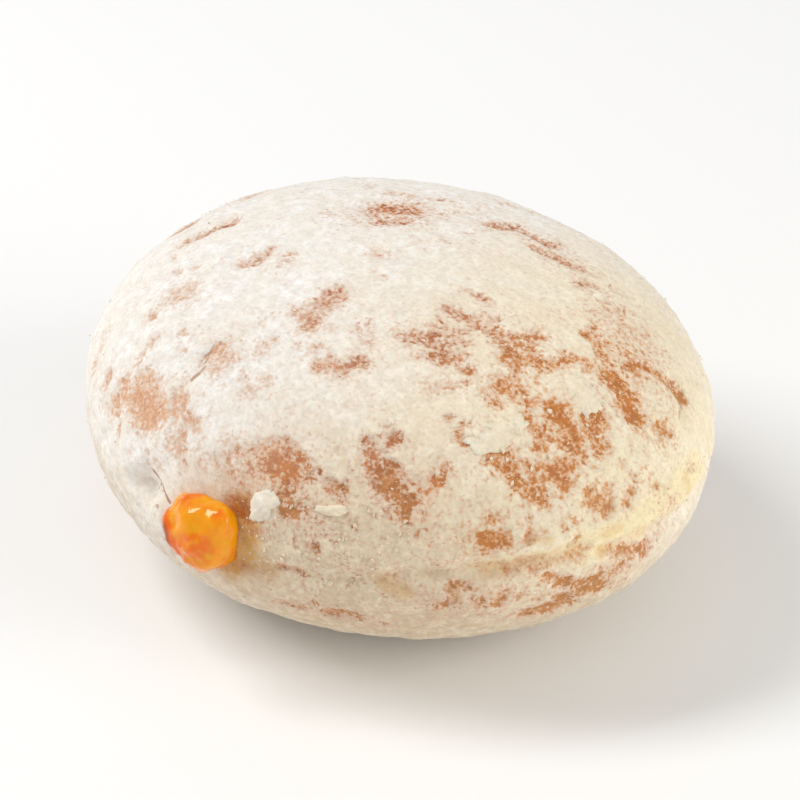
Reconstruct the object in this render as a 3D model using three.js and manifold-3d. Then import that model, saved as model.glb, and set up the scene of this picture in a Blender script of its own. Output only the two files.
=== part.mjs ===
// A jelly filled doughnut: an uncut oval yeast doughnut, fried on one side and then the other,
// coated with powdered sugar and filled with apricot jelly through one hole in its side, where
// a blob of the jelly stands out. The dough is solid as far as it shows, and the jelly has a
// short plug in the filling hole. The doughnut rests on a small flat spot.
// Millimetres, +Z up. +X runs along the longer side and the filling hole faces -Y. The origin
// is on the ground under the middle of the whole. Places on the skin are given in degrees, as
// seen from the middle of the dough: azimuth round the waist from +X, elevation above it.

import * as THREE from "three";
import { mergeVertices } from "three/addons/utils/BufferGeometryUtils.js";
import Module from "manifold-3d";

// The dough: a cushion a little squarer than an ellipsoid, widest at its waist.
const doughLength = 92;
const doughWidth = 82.8;
const crownHeight = 25.5;
const bellyDepth = 22.2;
const footDepth = 21.1;
const planPower = 1.96;
const sidePower = 2.16;

// Low swells and hollows left by proofing and handling, each with how far it spreads in
// degrees and how far it stands out in millimetres. A minus is a hollow.
const swells = [
  { azimuth: 44, elevation: -6, spread: 25, rise: -0.2 },
  { azimuth: 86, elevation: 46, spread: 24, rise: -0.8 },
  { azimuth: 182, elevation: 46, spread: 24, rise: 0.5 },
  { azimuth: 238, elevation: -8, spread: 22, rise: -0.7 },
  { azimuth: 252, elevation: -30, spread: 18, rise: 0.3 },
  { azimuth: 150, elevation: 12, spread: 14, rise: 0.4 },
  { azimuth: 100, elevation: -16, spread: 15, rise: -0.4 },
];
const dimpleDepth = 0.16;

// The seam: the line round the waist where the two fried sides meet, a shallow groove with a
// browned lip over it. Both are strongest at seamStrongAt and faint on the opposite side.
const seamStrongAt = 20;
const seamDepth = 0.75;
const seamFaintDepth = 0.25;
const seamHalfWidth = 1.5;
const seamMeanElevation = 1.1;
const seamWaves = [
  { turns: 4, rise: 1.9, crestAt: -25 },
  { turns: 3, rise: 0.6, crestAt: -15 },
];
const lipRise = 0.45;
const lipAboveSeam = 2.6;
const lipHalfWidth = 1.8;

// The filling hole: the skin is drawn in round it, and a crease runs from it to one side.
const holeAzimuth = 278;
const holeElevation = 1.6;
const holeRadius = 4;
const holeDepth = 9;
const puckers = [
  { azimuth: 278, elevation: 1.6, spread: 9, rise: -0.8 },
  { azimuth: 260.5, elevation: 3, spread: 3.6, rise: -1.5 },
  { azimuth: 265, elevation: 6, spread: 3, rise: -0.7 },
  { azimuth: 254, elevation: 6, spread: 4, rise: 0.4 },
];

// The sugar coat: a skin of powder, rubbed off in patches. Each patch is an oval, length by
// width, turned up from level by turn degrees. patchEdge is how soft its edge is.
const coatThickness = 0.35;
const patchEdge = 0.35;
const barePatches = [
  { azimuth: -10, elevation: 21, length: 13, width: 8, turn: 25 },
  { azimuth: -69, elevation: 19, length: 10, width: 9, turn: 0 },
  { azimuth: -46, elevation: 20, length: 10, width: 5, turn: 90 },
  { azimuth: -105, elevation: 18, length: 9, width: 6, turn: -30 },
  { azimuth: -14, elevation: 41, length: 22, width: 6, turn: -15 },
  { azimuth: 20, elevation: 31, length: 11, width: 5, turn: -25 },
  { azimuth: -82, elevation: 53, length: 8, width: 6, turn: 50 },
  { azimuth: 128, elevation: 64, length: 12, width: 6, turn: 0 },
  { azimuth: 60, elevation: 22, length: 10, width: 6, turn: 15 },
  { azimuth: 105, elevation: 30, length: 13, width: 7, turn: -20 },
  { azimuth: 155, elevation: 24, length: 10, width: 8, turn: 35 },
  { azimuth: 200, elevation: 18, length: 9, width: 6, turn: -15 },
];

// Flakes of caked sugar stuck to the skin. Each is turned up from level by turn, and tipped
// about its own length by lean, so that one long edge stands proud.
const flakeSides = 11;
const flakeSunk = 0.35;
const flakes = [
  { azimuth: -69, elevation: 11.2, length: 5, width: 3.2, thickness: 1, turn: 50, lean: 5 },
  { azimuth: -55.7, elevation: 12.8, length: 4.6, width: 1.5, thickness: 1.1, turn: 5, lean: 0 },
  { azimuth: -22.5, elevation: 25.2, length: 8.6, width: 5, thickness: 1, turn: 8, lean: 2 },
  { azimuth: -17, elevation: 26.1, length: 4.4, width: 1.8, thickness: 1.5, turn: 68, lean: 6 },
  { azimuth: 0.6, elevation: 27.2, length: 4.6, width: 3.7, thickness: 1, turn: 80, lean: 7 },
  { azimuth: -1.4, elevation: 23.9, length: 1.9, width: 1.4, thickness: 1.1, turn: 20, lean: 0 },
  { azimuth: 36.3, elevation: 36.5, length: 2.6, width: 1.7, thickness: 1, turn: 30, lean: 0 },
  { azimuth: 26.3, elevation: 13.2, length: 4, width: 1.8, thickness: 1.2, turn: 84, lean: 4 },
  { azimuth: -105.1, elevation: 31.6, length: 4.6, width: 1.7, thickness: 1.1, turn: 62, lean: 4 },
  { azimuth: 84, elevation: 6, length: 3.6, width: 2.5, thickness: 1, turn: 15, lean: 5 },
  { azimuth: 112, elevation: 11, length: 4.3, width: 2.2, thickness: 1, turn: -30, lean: 3 },
  { azimuth: 140, elevation: 22, length: 4.1, width: 2.7, thickness: 1, turn: 70, lean: 4 },
  { azimuth: 166, elevation: -7, length: 3.5, width: 2.8, thickness: 1, turn: 0, lean: 6 },
  { azimuth: 198, elevation: 9, length: 3.1, width: 2.1, thickness: 1, turn: 40, lean: 3 },
];

// The jelly: one blob, lumpy where chunks of fruit press against its skin.
const jellyWidth = 10.8;
const jellyHeight = 10.4;
const jellyProud = 4.8;
const jellySunk = 2.5;
const jellyGap = 0.3;
const jellyChunks = [
  { side: 44, out: 8, spread: 24, rise: 1.9 },
  { side: 100, out: 24, spread: 24, rise: 0.5 },
  { side: 172, out: 26, spread: 30, rise: 0.7 },
  { side: -78, out: 22, spread: 24, rise: 0.5 },
  { side: -15, out: 40, spread: 26, rise: 0.4 },
  { side: 130, out: 48, spread: 16, rise: -0.5 },
  { side: -40, out: 62, spread: 16, rise: -0.4 },
];

// How finely the shapes are cut into triangles.
const pointsAround = 84;
const firstRingGap = 1.4;
const ringGapGrowth = 1.3;
const widestRingGap = 5.6;
const jellyDetail = 6;
const plugSides = 20;

const degree = Math.PI / 180;
const up = new THREE.Vector3(0, 0, 1);

const wasm = await Module();
wasm.setup();

// A closed three.js geometry as a solid that can be joined and cut.
function solidOf(geometry) {
  const bare = geometry.clone();
  bare.deleteAttribute("normal");
  bare.deleteAttribute("uv");
  const merged = mergeVertices(bare, 1e-4);
  return new wasm.Manifold(
    new wasm.Mesh({
      numProp: 3,
      vertProperties: merged.attributes.position.array,
      triVerts: new Uint32Array(merged.index.array),
    }),
  );
}

function geometryOf(solid) {
  const mesh = solid.getMesh();
  const geometry = new THREE.BufferGeometry();
  geometry.setAttribute("position", new THREE.BufferAttribute(mesh.vertProperties, 3));
  geometry.setIndex(new THREE.BufferAttribute(mesh.triVerts, 1));
  geometry.computeVertexNormals();
  return geometry;
}

function direction(azimuth, elevation) {
  return new THREE.Vector3(
    Math.cos(elevation * degree) * Math.cos(azimuth * degree),
    Math.cos(elevation * degree) * Math.sin(azimuth * degree),
    Math.sin(elevation * degree),
  );
}

// A smooth bell: 1 at the middle, next to nothing at twice the spread.
function bell(distance, spread) {
  return Math.exp(-((distance / spread) ** 2));
}

function swellAt(way, swell) {
  const away = way.angleTo(direction(swell.azimuth, swell.elevation)) / degree;
  return swell.rise * bell(away, swell.spread);
}

function cushionRadius(way) {
  const height = way.z > 0 ? crownHeight : bellyDepth;
  const plan =
    Math.abs((2 * way.x) / doughLength) ** planPower +
    Math.abs((2 * way.y) / doughWidth) ** planPower;
  const side = Math.abs(way.z / height) ** sidePower;
  return (plan ** (sidePower / planPower) + side) ** (-1 / sidePower);
}

// The seam wanders up and down a few degrees on its way round the waist.
function seamElevation(azimuth) {
  let elevation = seamMeanElevation;
  for (const { turns, rise, crestAt } of seamWaves) {
    elevation += rise * Math.cos(turns * (azimuth - crestAt) * degree);
  }
  return elevation;
}

function seamRelief(azimuth, aboveSeam) {
  const strength = 0.5 + 0.5 * Math.cos((azimuth - seamStrongAt) * degree);
  const depth = seamFaintDepth + (seamDepth - seamFaintDepth) * strength;
  const groove = depth * bell(aboveSeam, seamHalfWidth);
  const lip = lipRise * strength ** 2 * bell(aboveSeam - lipAboveSeam, lipHalfWidth);
  return lip - groove;
}

// The least angle from one azimuth to another, between -180 and 180.
function turnTo(azimuth, from) {
  return ((((azimuth - from + 180) % 360) + 360) % 360) - 180;
}

// 1 where the sugar is rubbed off, 0 where it lies thick, with a soft edge between.
function bareness(azimuth, elevation, radius) {
  let barest = 0;
  for (const patch of barePatches) {
    const across = turnTo(azimuth, patch.azimuth) * degree * radius * Math.cos(elevation * degree);
    const upward = (elevation - patch.elevation) * degree * radius;
    const turn = patch.turn * degree;
    const along = across * Math.cos(turn) + upward * Math.sin(turn);
    const aside = upward * Math.cos(turn) - across * Math.sin(turn);
    const reach = Math.hypot((2 * along) / patch.length, (2 * aside) / patch.width);
    const bare = 1 - THREE.MathUtils.smoothstep(reach, 1 - patchEdge, 1 + patchEdge);
    barest = Math.max(barest, bare);
  }
  return barest;
}

// Shallow dimples all over, as on any fried dough: two crossed sets of waves.
function dimples(way) {
  const first = Math.sin(9 * way.x + 2) * Math.sin(8 * way.y + 1) * Math.sin(10 * way.z);
  const second = Math.sin(15 * way.x - 1) * Math.cos(13 * way.y + 2) * Math.cos(12 * way.z + 1);
  return dimpleDepth * (first + second);
}

function skinPoint(azimuth, elevation) {
  const way = direction(azimuth, elevation);
  let radius = cushionRadius(way);
  const aboveSeam = (elevation - seamElevation(azimuth)) * degree * radius;
  radius += seamRelief(azimuth, aboveSeam) + dimples(way);
  radius -= coatThickness * bareness(azimuth, elevation, radius);
  for (const swell of [...swells, ...puckers]) radius += swellAt(way, swell);
  const point = way.multiplyScalar(radius);
  point.z = Math.max(point.z, -footDepth);
  return point;
}

// Which way the skin faces, taken over a few degrees so that fine relief doesn't tip it.
function skinNormal(azimuth, elevation) {
  const reach = 3;
  const acrossSkin = skinPoint(azimuth + reach, elevation).sub(skinPoint(azimuth - reach, elevation));
  const upSkin = skinPoint(azimuth, elevation + reach).sub(skinPoint(azimuth, elevation - reach));
  return acrossSkin.cross(upSkin).normalize();
}

// The rings of the skin, as shares of the way from the seam to a pole: close together at the
// seam, then spreading out.
function ringShares() {
  const shares = [];
  let gap = firstRingGap;
  for (let angle = gap; angle < 90 - widestRingGap / 2; angle += gap) {
    shares.push(angle / 90);
    gap = Math.min(gap * ringGapGrowth, widestRingGap);
  }
  return shares;
}

// The skin is a sphere of rings, the middle one on the seam.
function skinGeometry() {
  const half = ringShares();
  const shares = [1, ...half.toReversed(), 0, ...half.map((share) => -share), -1];
  const geometry = new THREE.SphereGeometry(1, pointsAround, shares.length - 1);
  const { position, uv } = geometry.attributes;
  for (let i = 0; i < position.count; i += 1) {
    const azimuth = 360 * uv.getX(i);
    const share = shares[Math.round((1 - uv.getY(i)) * (shares.length - 1))];
    const seam = seamElevation(azimuth);
    const elevation = seam + share * (90 - Math.sign(share) * seam);
    position.setXYZ(i, ...skinPoint(azimuth, elevation));
  }
  return geometry;
}

// A flake: a thin plate with an uneven outline and a bevelled upper edge.
function flakeGeometry({ length, width, thickness }, seed) {
  const bevel = thickness / 3;
  const outline = new THREE.Shape();
  for (let side = 0; side < flakeSides; side += 1) {
    const angle = (2 * Math.PI * side) / flakeSides;
    const ragged = 1 + 0.14 * Math.sin(2 * angle + seed) + 0.1 * Math.sin(5 * angle + 2 * seed);
    const x = (length / 2 - bevel) * ragged * Math.cos(angle);
    const y = (width / 2 - bevel) * ragged * Math.sin(angle);
    if (side === 0) outline.moveTo(x, y);
    else outline.lineTo(x, y);
  }
  return new THREE.ExtrudeGeometry(outline, {
    depth: thickness - bevel,
    bevelThickness: bevel,
    bevelSize: bevel,
    bevelSegments: 1,
    curveSegments: 1,
  });
}

// Sets a shape made flat, with its own +Z outward, on the skin.
function setOnSkin(geometry, azimuth, elevation, turn, lean, sunk) {
  const outward = skinNormal(azimuth, elevation);
  const level = up.clone().cross(outward).normalize();
  const upward = outward.clone().cross(level);
  const place = new THREE.Matrix4().makeBasis(level, upward, outward);
  place.setPosition(skinPoint(azimuth, elevation).addScaledVector(outward, -sunk));
  const pose = new THREE.Matrix4().makeRotationZ(turn * degree);
  pose.multiply(new THREE.Matrix4().makeRotationX(lean * degree));
  return geometry.applyMatrix4(place.multiply(pose));
}

// The blob about its own middle, with +Z outward, +X level to the right and +Y up. It is
// grown by gap all round to cut its bed in the dough.
function jellyBlobGeometry(gap) {
  const geometry = new THREE.IcosahedronGeometry(1, jellyDetail);
  const { position } = geometry.attributes;
  const way = new THREE.Vector3();
  for (let i = 0; i < position.count; i += 1) {
    way.fromBufferAttribute(position, i).normalize();
    const outward = way.z > 0 ? jellyProud : jellySunk;
    const radius = 1 / Math.hypot((2 * way.x) / jellyWidth, (2 * way.y) / jellyHeight, way.z / outward);
    let lumps = 0;
    for (const chunk of jellyChunks) {
      const away = way.angleTo(direction(chunk.side, chunk.out)) / degree;
      lumps += chunk.rise * bell(away, chunk.spread);
    }
    way.multiplyScalar(radius + lumps + gap);
    position.setXYZ(i, ...way);
  }
  return geometry;
}

// The plug: jelly standing in the filling hole, tapered to a round end.
function jellyPlugGeometry(gap) {
  const profile = [
    new THREE.Vector2(0, -holeDepth - gap),
    new THREE.Vector2(0.55 * holeRadius + gap, -0.9 * holeDepth - gap),
    new THREE.Vector2(0.85 * holeRadius + gap, -0.65 * holeDepth),
    new THREE.Vector2(holeRadius + gap, -jellySunk / 2),
    new THREE.Vector2(0.7 * holeRadius, 0),
    new THREE.Vector2(0, 0),
  ];
  return new THREE.LatheGeometry(profile, plugSides).rotateX(Math.PI / 2);
}

function jellySolid(gap) {
  const place = (geometry) => setOnSkin(geometry, holeAzimuth, holeElevation, 0, 0, 0);
  const blob = solidOf(place(jellyBlobGeometry(gap)));
  return blob.add(solidOf(place(jellyPlugGeometry(gap))));
}

function doughSolid() {
  let dough = solidOf(skinGeometry());
  flakes.forEach((flake, index) => {
    const { azimuth, elevation, turn, lean } = flake;
    const geometry = flakeGeometry(flake, 1 + 1.7 * index);
    dough = dough.add(solidOf(setOnSkin(geometry, azimuth, elevation, turn, lean, flakeSunk)));
  });
  return dough.subtract(jellySolid(jellyGap));
}

const sugaredDough = new THREE.MeshStandardMaterial({ color: 0xf0e2c6, roughness: 0.9, metalness: 0 });
const apricotJelly = new THREE.MeshStandardMaterial({ color: 0xf08a14, roughness: 0.12, metalness: 0 });

const dough = new THREE.Mesh(geometryOf(doughSolid()), sugaredDough);
dough.name = "dough";
const jelly = new THREE.Mesh(geometryOf(jellySolid(0)), apricotJelly);
jelly.name = "jelly";

// Stand the doughnut on the ground, with the origin under the middle of its box.
const doughnut = new THREE.Group();
doughnut.add(dough, jelly);
const box = new THREE.Box3().setFromObject(doughnut);
doughnut.position.set(-(box.min.x + box.max.x) / 2, -(box.min.y + box.max.y) / 2, -box.min.z);

const part = new THREE.Group();
part.name = "jelly_filled_doughnut";
part.add(doughnut);

export default part;
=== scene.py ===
import math
import random

import bmesh
import bpy
import numpy as np
from mathutils import Matrix, Vector, noise


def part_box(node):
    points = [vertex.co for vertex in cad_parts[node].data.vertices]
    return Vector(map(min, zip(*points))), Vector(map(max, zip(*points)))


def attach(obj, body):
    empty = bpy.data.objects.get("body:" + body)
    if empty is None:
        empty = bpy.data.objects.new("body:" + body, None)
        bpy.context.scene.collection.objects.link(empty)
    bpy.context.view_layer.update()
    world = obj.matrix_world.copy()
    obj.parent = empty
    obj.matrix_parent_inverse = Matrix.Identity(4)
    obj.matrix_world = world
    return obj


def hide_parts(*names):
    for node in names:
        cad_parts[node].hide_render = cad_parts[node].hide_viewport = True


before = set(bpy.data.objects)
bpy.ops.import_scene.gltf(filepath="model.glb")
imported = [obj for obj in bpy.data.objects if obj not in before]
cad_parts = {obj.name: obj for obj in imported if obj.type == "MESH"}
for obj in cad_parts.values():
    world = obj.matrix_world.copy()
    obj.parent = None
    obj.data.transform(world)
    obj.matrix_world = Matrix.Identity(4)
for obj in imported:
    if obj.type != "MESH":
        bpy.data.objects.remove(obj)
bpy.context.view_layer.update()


# ---------------------------------------------------------------------------------------
# The dough: an oval cushion of yeast dough, fried on one side and then the other, so that
# a paler seam runs round its waist. It was rolled in powdered sugar while warm, and the
# coat has since been rubbed off in patches. Places are azimuth and elevation in degrees.

mm = 0.001
dough_length, dough_width = 92, 82.8
crown_height, belly_depth, foot_depth = 25.5, 22.2, 21.1
plan_power, side_power = 1.96, 2.16
# Where the swells and hollows are, how far each spreads in degrees, and how far it stands out.
swells = [
    (44, -6, 25, -0.2), (86, 46, 24, -0.8), (182, 46, 24, 0.5), (238, -8, 22, -0.7),
    (252, -30, 18, 0.3), (150, 12, 14, 0.4), (100, -16, 15, -0.4),
]
dimple_depth = 0.16
seam_strong_at = 20
seam_depth, seam_faint_depth, seam_half_width = 0.75, 0.25, 1.5
seam_mean = 1.1
seam_waves = [(4, 1.9, -25), (3, 0.6, -15)]
lip_rise, lip_above_seam, lip_half_width = 0.45, 2.6, 1.8
# The filling hole and its rounded edge. The skin is drawn in and folded round it.
hole_azimuth, hole_elevation, hole_radius, hole_depth, hole_bevel = 278, 1.6, 4, 9, 1
puckers = [(278, 1.6, 9, -0.8), (260.5, 3, 3.6, -1.5), (265, 6, 3, -0.7), (254, 6, 4, 0.4)]
# The hole side is drawn in, so the middle of the cushion is off the middle of its box.
drawn_in = 0.35
coat_thickness = 0.35

box_low, box_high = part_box("dough")
dough_middle = (box_low + box_high) / 2 - Vector((0, drawn_in * mm, 0))
dough_middle.z = box_low.z + foot_depth * mm

# The coat is painted with strokes: how strong each is, how wide in millimetres, and the
# places it runs through. These are where the sugar is rubbed off.
rubbed_strokes = [
    # the far side of the crown
    (1.0, 5.0, (140, 64), (128, 63)), (0.8, 4.0, (149, 65), (141, 64)), (0.8, 3.2, (153, 71), (146, 71)),
    (0.85, 3.4, (132, 68), (132, 71.5)), (0.45, 8.0, (146, 67), (130, 67)),
    (0.6, 1.8, (139, 53), (130, 54)), (0.5, 1.6, (121, 52.5), (116, 51.5)), (0.6, 1.4, (66, 74)),
    (0.45, 1.2, (72, 76)), (0.4, 1.2, (58, 71)), (0.5, 1.2, (178, 58)), (0.5, 1.0, (176, 61)),
    (0.6, 2.4, (-100, 83.5)), (0.5, 1.0, (-68, 74)), (0.6, 1.2, (-55, 73)),
    # the near side of the crown
    (1.0, 2.6, (-82.5, 62.5), (-82, 58.5)), (0.8, 3.0, (-81.5, 57), (-84, 53.5)),
    (0.9, 2.4, (-81, 51), (-80, 49.5)), (0.4, 2.0, (-91, 51)), (0.4, 1.6, (-86, 49)),
    (0.4, 2.0, (-81.5, 47)), (0.4, 2.0, (-73, 50.5)), (0.7, 1.2, (-78, 43)), (0.7, 1.2, (-72.2, 44.6)),
    (1.0, 2.2, (-67, 39.8), (-64, 40.6), (-61, 40.2)),
    (0.9, 1.4, (-60, 40.8), (-57, 41.8), (-53.5, 42.3)), (0.6, 1.6, (-60, 52), (-57.5, 53.3)),
    (0.55, 2.0, (-56.5, 50.8), (-55, 48.5)), (0.5, 1.2, (-57.5, 44.8)),
    # the left end
    (0.65, 1.6, (-155.5, 31.5), (-158.5, 34.5)), (0.95, 1.8, (-158.5, 34.5), (-164, 39.5)),
    (0.85, 1.8, (-134, 47.5), (-134, 51), (-139, 54)), (0.6, 2.4, (-129, 58.5)), (0.6, 1.0, (-149, 30.3)),
    (0.8, 1.4, (-141, 33)), (0.6, 1.2, (-141, 37)), (0.5, 1.2, (-138, 42.5)),
    (0.6, 3.5, (-131, 33), (-129, 35.5)), (0.75, 1.2, (-127, 36.5)), (0.7, 1.2, (-128.5, 32.5)),
    (0.6, 1.2, (-129, 28.5)), (0.9, 1.5, (-127, 27.3)), (0.7, 1.3, (-114, 32)),
    (0.6, 0.8, (-108.3, 29.2)), (0.95, 2.0, (-101.5, 33), (-100, 33.8)),
    (0.85, 1.4, (-102.5, 32), (-100.8, 31)), (0.55, 4.0, (-99, 33), (-96, 32.5)),
    (0.65, 1.4, (-96, 30.8)), (0.7, 1.4, (-99, 35.5)), (0.5, 2.0, (-87.5, 38.5)), (0.6, 1.4, (-87, 42.5)),
    (0.6, 1.2, (-87.3, 33.2)), (0.6, 1.3, (-85.5, 31.8)), (0.55, 2.0, (-83, 29.8), (-83.5, 28.6)),
    (0.5, 1.4, (-79.5, 33)), (0.45, 2.0, (-137, 15), (-133, 12), (-131, 10.5)),
    (0.9, 1.8, (-123.3, 13.6), (-123.5, 12.2)), (0.8, 1.6, (-117, 13), (-115.5, 11.7)),
    (0.5, 2.6, (-119, 11), (-116.5, 10)), (0.9, 1.1, (-114.6, 11.6), (-114, 10.6)),
    (0.75, 1.5, (-111.5, 9.6), (-110.3, 8.6)), (0.8, 1.2, (-118.4, 26), (-117.9, 24.4)),
    (0.65, 1.4, (-117.5, 22.8), (-117, 22)), (0.45, 1.2, (-116.8, 20.6)),
    # the big patch of the left end
    (0.85, 1.4, (-117, 17)), (0.8, 1.2, (-113.5, 16.7)),
    (0.7, 2.2, (-116.5, 16.5), (-114.8, 14.7), (-113.5, 13.8)),
    (0.85, 1.8, (-113.5, 14.3), (-111.5, 15.2)), (0.75, 3.0, (-112, 19.8), (-109.5, 20), (-108, 20.6)),
    (0.9, 1.4, (-107.5, 20), (-106.3, 19.3)), (1.0, 5.0, (-108, 17), (-105, 16), (-103.5, 17)),
    (0.95, 1.6, (-104.7, 15.3)), (0.9, 1.4, (-102, 15.3), (-101, 16)),
    (0.85, 2.2, (-102, 17), (-99.8, 18)), (0.8, 1.3, (-99.2, 21.5)), (0.6, 1.2, (-98.6, 18.2)),
    (0.6, 1.6, (-100.5, 25), (-99.8, 23.6)), (0.9, 1.5, (-99.6, 22), (-98, 22.4)),
    (0.8, 1.2, (-97.2, 23.4), (-96.6, 22)), (0.95, 1.0, (-95.5, 21)), (0.85, 1.1, (-96, 20)),
    (0.75, 1.4, (-99, 19.8), (-97, 19.2)), (0.8, 2.0, (-93, 20), (-90.5, 19.5)),
    (0.9, 1.2, (-90.3, 20.6)), (0.85, 1.1, (-92.8, 20.5)), (0.9, 1.4, (-93, 17.4), (-92.7, 16)),
    (0.85, 2.4, (-94, 15.3), (-92, 14.6)), (0.8, 1.2, (-91.5, 14)), (0.75, 1.0, (-91, 15.6)),
    (0.45, 3.0, (-97, 17.5), (-94, 17)), (0.5, 2.0, (-99.5, 16.3), (-98, 15.5)),
    (0.6, 1.0, (-87.5, 18.8)), (0.35, 3.0, (-88, 16), (-84.5, 14)),
    (0.9, 1.2, (-83.1, 15.6), (-83.2, 14.8)), (0.7, 1.4, (-81.6, 14.8), (-80.8, 14.6)),
    (0.5, 1.8, (-89.6, 12.3), (-88.8, 11.6)), (0.7, 0.9, (-99.6, 10), (-99.2, 8.6)),
    (0.4, 1.6, (-96, 9.6)),
    # above and beside the filling hole
    (0.95, 1.6, (-69, 23), (-68, 23)), (0.8, 1.8, (-67.5, 22.3), (-65.3, 21.9)),
    (0.9, 1.4, (-64.6, 21.6), (-63.6, 20.7)), (0.85, 2.2, (-73, 21), (-70.5, 21.8)),
    (0.8, 1.2, (-74, 20.7)), (0.85, 1.3, (-78.5, 19.2), (-76, 18.8), (-74.3, 19.8)),
    (1.0, 4.5, (-70.5, 19.5), (-67.5, 19), (-66, 18.3)), (0.95, 1.6, (-64.9, 18.3)),
    (0.8, 2.6, (-71, 18.5), (-68, 16.8)), (0.6, 5.0, (-78, 17), (-76.5, 14), (-73.5, 17)),
    (0.75, 1.4, (-75.5, 15), (-74.5, 15.5)), (0.7, 1.0, (-77.5, 16)), (0.75, 1.2, (-72.8, 12.5)),
    (0.7, 1.4, (-75, 11.6)), (0.85, 2.0, (-77, 10.2), (-75, 10.4)), (1.0, 2.6, (-75.5, 9.8), (-73.5, 9)),
    (0.75, 1.3, (-65, 19.8), (-62.5, 19.6)), (0.75, 1.6, (-62.5, 17.6), (-61, 17.3)),
    (0.6, 1.0, (-60.9, 19.2)), (0.75, 1.0, (-59.4, 19.3)), (0.8, 1.2, (-67.3, 14.6)),
    (0.9, 1.1, (-65.2, 14), (-64.2, 14.4)), (0.7, 1.0, (-64.2, 15.6)), (0.8, 1.0, (-62.5, 15.7)),
    (0.9, 1.6, (-66.4, 12.6), (-65.6, 13)), (0.9, 1.3, (-64, 12.8), (-63.6, 11.8)),
    (0.95, 1.6, (-65.4, 10.9), (-64.3, 11.1)), (0.95, 1.5, (-63, 11), (-61.9, 11.2)),
    (0.75, 1.1, (-62.2, 12.7)), (0.35, 5.0, (-65, 14), (-62, 13)), (0.6, 1.0, (-60, 13.6), (-59.2, 12.7)),
    (0.85, 1.4, (-57.5, 17.6), (-56.5, 18)), (0.75, 1.0, (-53.6, 18.4)),
    (0.95, 1.5, (-56, 16.7), (-54.5, 16.8)), (0.7, 1.2, (-57, 16.3), (-55.1, 15.3)),
    (0.85, 1.0, (-54, 14.6)), (0.9, 1.1, (-58.5, 5.5)),
    # the middle of the front
    (0.55, 1.0, (-46.2, 28)), (0.95, 1.2, (-50, 26)), (0.8, 1.2, (-46.9, 26.3)),
    (0.9, 1.6, (-45.5, 25), (-44.3, 25.6)), (0.8, 1.4, (-48.6, 25), (-49, 24)),
    (0.95, 1.6, (-49.8, 23.6), (-48.5, 23.4)), (0.8, 1.0, (-48, 24)), (0.7, 0.9, (-50.8, 23)),
    (1.0, 2.6, (-49, 23), (-48.2, 21.5), (-47.5, 20.8)), (0.7, 2.0, (-46.4, 22.3)),
    (0.7, 1.0, (-44.4, 21.8)), (0.9, 2.4, (-46, 21.4), (-45, 20.5), (-44.2, 19.8)),
    (0.75, 1.6, (-43.3, 20.2)), (0.85, 2.0, (-46.5, 19.5)), (0.8, 1.6, (-44.5, 19), (-43, 18.2)),
    (1.0, 2.4, (-46, 18), (-45, 17.2), (-43.6, 16.6)), (0.75, 1.3, (-48.4, 17.4)),
    (0.8, 0.9, (-47.1, 16.9)), (0.6, 1.0, (-47.5, 16)), (0.8, 1.4, (-43.5, 16.2)),
    (0.85, 1.5, (-41.5, 15.2), (-40.2, 15.8)), (0.9, 1.1, (-42.2, 15.2), (-42, 14)),
    (0.85, 1.2, (-43, 14.2)), (1.0, 1.4, (-42.4, 13.6), (-42.1, 12.8)),
    (0.6, 1.1, (-45, 13.6), (-44.9, 12.6)), (0.5, 1.0, (-39.2, 14.8)), (0.5, 1.0, (-39, 13.1)),
    (0.35, 3.0, (-42, 20), (-40, 19)), (0.4, 1.6, (-40.5, 22.3)), (0.6, 1.0, (-37, 19.3), (-37, 18.7)),
    (0.95, 1.3, (-35.8, 18.8), (-35.2, 17.9)), (0.7, 1.0, (-36.4, 19.8), (-36, 19.1)),
    (0.75, 1.1, (-34.5, 19.8)), (0.7, 1.0, (-35.3, 20.9)), (0.75, 1.1, (-34.7, 21.5)),
    (0.6, 1.0, (-33.3, 20)), (0.65, 1.6, (-38, 17), (-36.8, 17.7)), (0.6, 0.9, (-36.2, 16.8)),
    (0.5, 0.8, (-36.5, 21.3)), (0.95, 1.0, (-32.4, 29.5)),
    # the round patch and its trail
    (0.9, 1.2, (-30, 26.8), (-30.2, 25.8)), (0.8, 0.9, (-29.3, 27.6)), (0.7, 0.8, (-27.3, 27.2)),
    (0.9, 1.2, (-29, 24.6)), (0.9, 1.6, (-28, 24.2), (-25.5, 23.8)), (1.0, 3.4, (-23.5, 22.3), (-23, 21)),
    (0.9, 2.0, (-21.8, 20), (-21.2, 17), (-19.8, 15)),
    # the long band over the front of the crown
    (0.6, 1.4, (-43.5, 51), (-42, 51.5)), (0.85, 2.6, (-37.5, 49.5), (-34.5, 49.6), (-31.5, 49)),
    (0.6, 1.2, (-34, 51.3)), (0.7, 1.3, (-28.2, 53), (-29.3, 51.8)),
    (0.6, 1.4, (-24.8, 53.9), (-23, 53.7)),
    (0.9, 1.5, (-19, 57), (-16.5, 55.2), (-13.6, 54.3), (-12, 52), (-11, 49.2)),
    (0.65, 4.0, (-26, 48.7), (-20.5, 48.5)), (1.0, 2.0, (-30.5, 43.3), (-28, 43.2)),
    (0.95, 1.8, (-28, 44.3), (-25.5, 43), (-24, 42.3)), (0.8, 1.4, (-31, 46), (-29.5, 45.8)),
    (0.7, 1.6, (-27, 46.2), (-26, 46.5)), (0.6, 1.4, (-38, 43.8)), (0.55, 1.6, (-35, 43.4), (-32, 43.3)),
    (0.7, 1.5, (-18.8, 46.8), (-20.5, 45.3)), (0.85, 1.2, (-1, 57.8), (0, 57)), (0.7, 1.2, (0, 55)),
    (0.5, 1.2, (-4, 61.5)), (0.7, 1.4, (-5, 49.6), (-4, 49.2)), (0.5, 2.0, (-8, 51.5)),
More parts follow.
